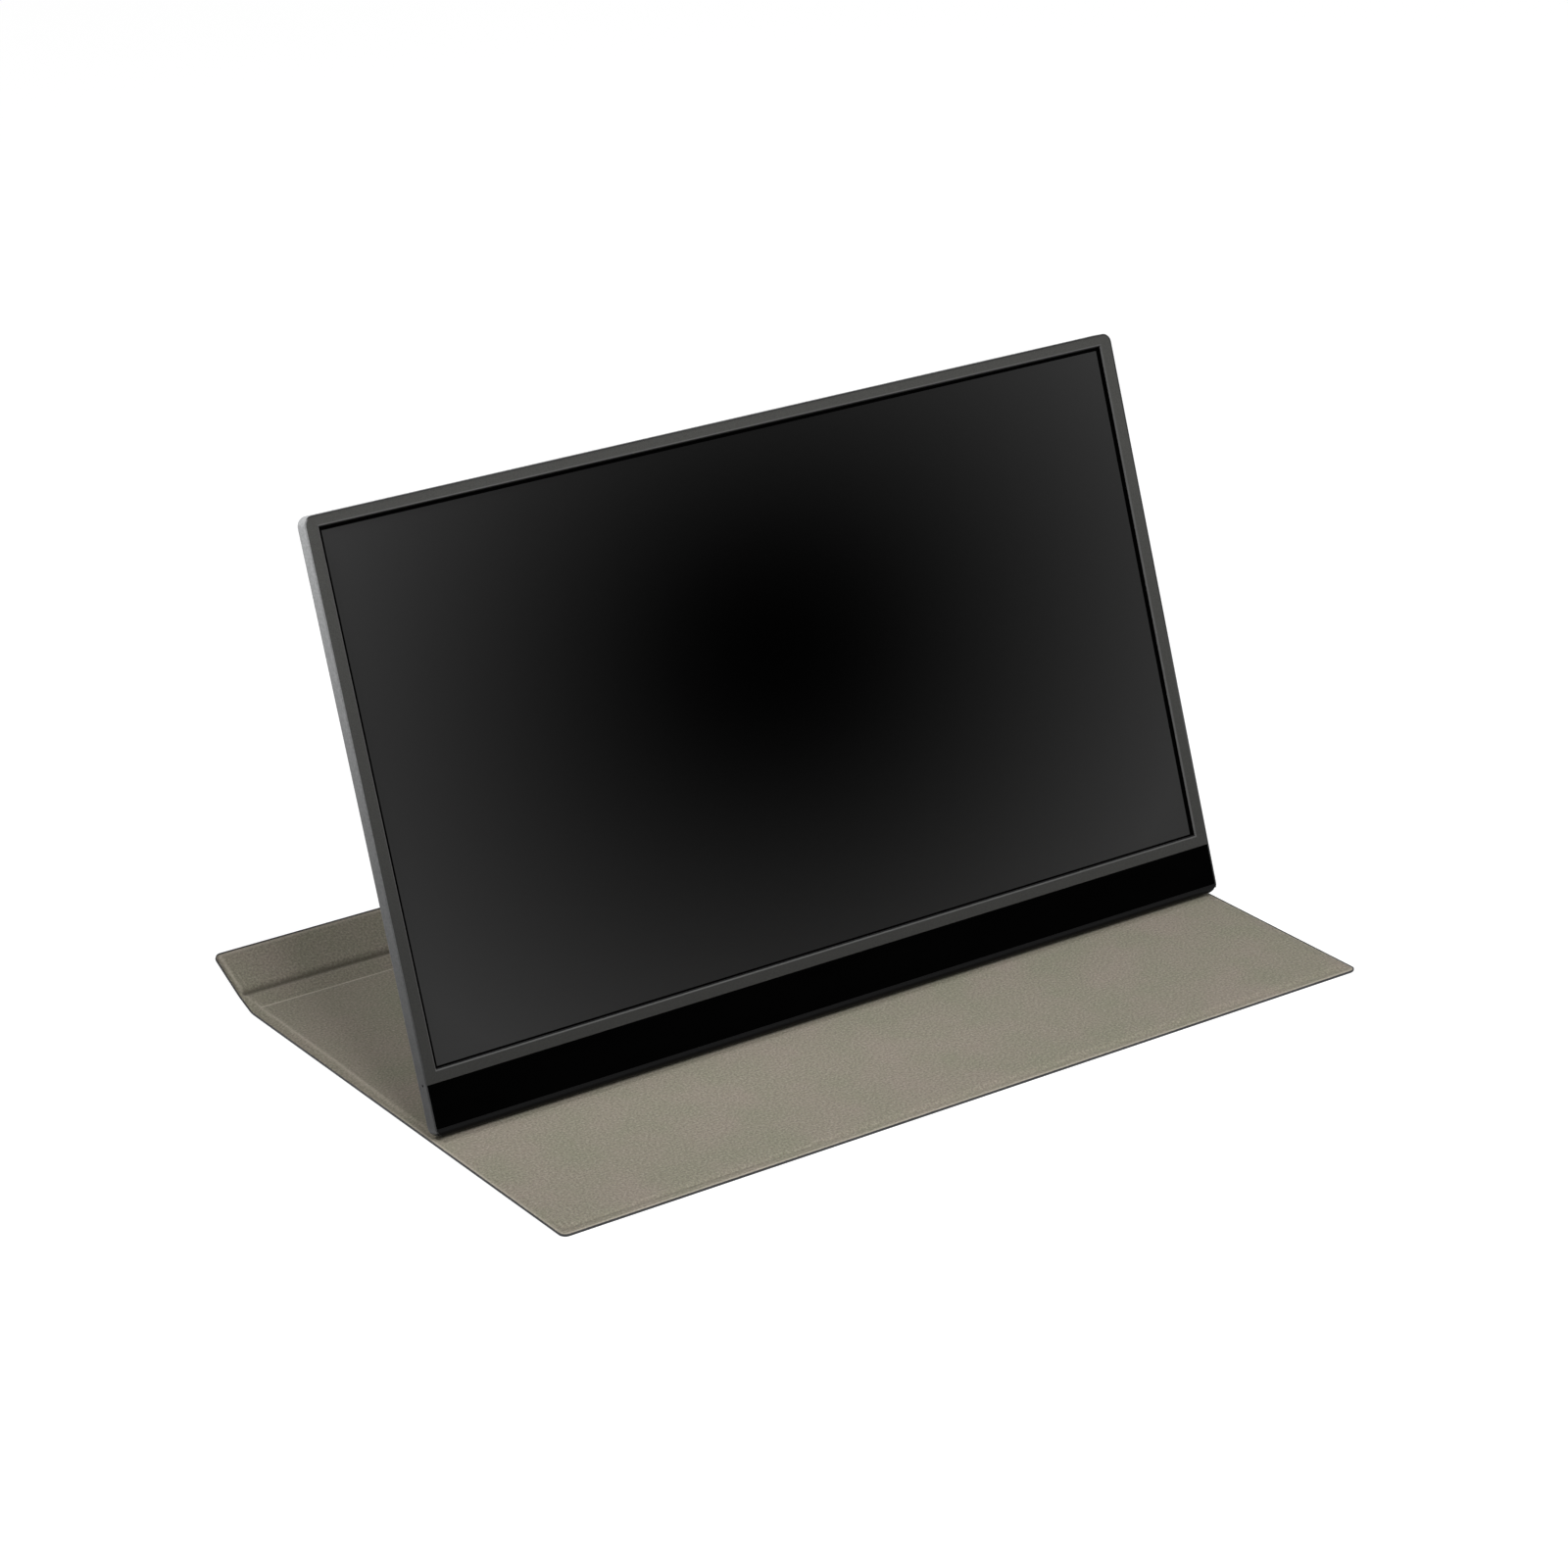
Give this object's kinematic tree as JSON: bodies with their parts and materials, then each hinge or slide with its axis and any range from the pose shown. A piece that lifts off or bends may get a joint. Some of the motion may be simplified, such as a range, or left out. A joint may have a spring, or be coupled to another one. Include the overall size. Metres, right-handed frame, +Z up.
{
  "type": "portable monitor with folding cover",
  "caption": "Thin portable monitor leaning on its own rear kickstand, standing on its spread-out folding suede-lined cover.",
  "frame": {"origin": "on the table, below the middle of the line on which the display stands", "axes": "+X along the width, +Y away from the viewer, +Z up from the table"},
  "size_m": [0.357, 0.2453, 0.2144],
  "materials": {
    "board": "stiff fibre board",
    "suede": "short napped microfibre",
    "cover_skin": "fine grained synthetic leather",
    "magnet": "nickel plated",
    "rubber": "matte",
    "shell": "fine silver-grey satin",
    "bezel": "matte dark olive-grey",
    "gloss_black": "polished",
    "lip": "satin",
    "screen": "semi-gloss black",
    "film": "diffusing white",
    "guide": "clear acrylic",
    "lamp": "phosphor yellow lamps",
    "tray": "zinc coated sheet",
    "foam": "foam tape",
    "circuit": "solder mask",
    "flex": "polyimide film",
    "housing": "fine spark texture",
    "screw": "plain",
    "chip": "moulded black",
    "port_plastic": "black",
    "port_metal": "plated",
    "switch": "pale",
    "wire": "insulation",
    "hinge": "stamped",
    "stand": "satin grey",
    "brass": "plain"
  },
  "bodies": {
    "cover_panel": {"cover_board": "board", "cover_lining": "suede", "cover_skin": "cover_skin", "cover_magnets": "magnet"},
    "cover_spine": {"spine_lining": "suede", "spine_skin": "cover_skin"},
    "cover_flap": {"flap_board": "board", "flap_lining": "suede", "flap_skin": "cover_skin", "flap_magnets": "magnet"},
    "standing_feet": {"display_feet": "rubber"},
    "display": {"rear_shell": "shell", "front_bezel": "bezel", "chin_panel": "gloss_black", "bottom_lip": "lip", "lcd_glass": "screen", "optical_films": "film", "light_guide": "guide", "led_strip": "lamp", "reflector_sheet": "film", "panel_tray": "tray", "mounting_tape": "foam", "shell_magnets": "magnet", "driver_board": "circuit", "panel_cable": "flex", "rear_housing": "housing", "housing_screws": "screw", "main_board": "circuit", "board_chips": "chip", "board_screws": "screw", "audio_jack": "port_plastic", "usb_c_shells": "port_metal", "usb_c_tongues": "port_plastic", "mini_hdmi_shell": "port_metal", "mini_hdmi_tongue": "port_plastic", "control_board": "circuit", "power_switch": "switch", "nav_switch": "port_plastic", "control_cable": "flex", "speaker_boxes": "chip", "speaker_wires": "wire", "hinge_brackets": "hinge", "bracket_screws": "screw", "hinge_pins": "screw"},
    "kickstand": {"kickstand_leg": "stand", "kickstand_feet": "rubber"},
    "power_key": {"power_button": "shell"},
    "stick_press": {"nav_plunger": "screw"},
    "stick_ring": {"nav_gimbal": "brass"},
    "stick": {"nav_cap": "port_plastic"}
  },
  "joints": [
    {"name": "first_fold", "type": "hinge", "parent": "cover_panel", "child": "cover_spine", "pos_m": [0, 0.13, 0.0011], "axis": [1, 0, 0], "range_deg": [-20, 70]},
    {"name": "second_fold", "type": "hinge", "parent": "cover_spine", "child": "cover_flap", "pos_m": [0, 0.13902, 0.00438], "axis": [1, 0, 0], "range_deg": [-6.4, 83.6]},
    {"name": "display_lift", "type": "slide", "parent": "cover_panel", "child": "standing_feet", "axis": [0, 0, 1], "range_m": [0, 0.06]},
    {"name": "display_tilt", "type": "hinge", "parent": "standing_feet", "child": "display", "pos_m": [0, 0, 0.0042], "axis": [-1, 0, 0], "range_deg": [-26.1, 12]},
    {"name": "kickstand_swing", "type": "hinge", "parent": "display", "child": "kickstand", "pos_m": [0, 0.02994, 0.06525], "axis": [1, 0, 0], "range_deg": [-52.22, 24.1]},
    {"name": "power_press", "type": "slide", "parent": "display", "child": "power_key", "axis": [1, 0, 0], "range_m": [0, 0.00035], "stiffness_N_per_m": 2000},
    {"name": "stick_press_in", "type": "slide", "parent": "display", "child": "stick_press", "axis": [1, 0, 0], "range_m": [0, 0.0003], "stiffness_N_per_m": 2000},
    {"name": "stick_up_down", "type": "hinge", "parent": "stick_press", "child": "stick_ring", "pos_m": [-0.1662, 0.02565, 0.05902], "axis": [0, 0.9444, -0.3289], "range_deg": [-7, 7], "stiffness_Nm_per_rad": 0.02},
    {"name": "stick_in_out", "type": "hinge", "parent": "stick_ring", "child": "stick", "pos_m": [-0.1662, 0.02565, 0.05902], "axis": [0, 0.3289, 0.9444], "range_deg": [-7, 7], "stiffness_Nm_per_rad": 0.02}
  ],
  "couplings": [
    {"joint": "kickstand_swing", "follows": "display_tilt", "ratio": 2}
  ]
}
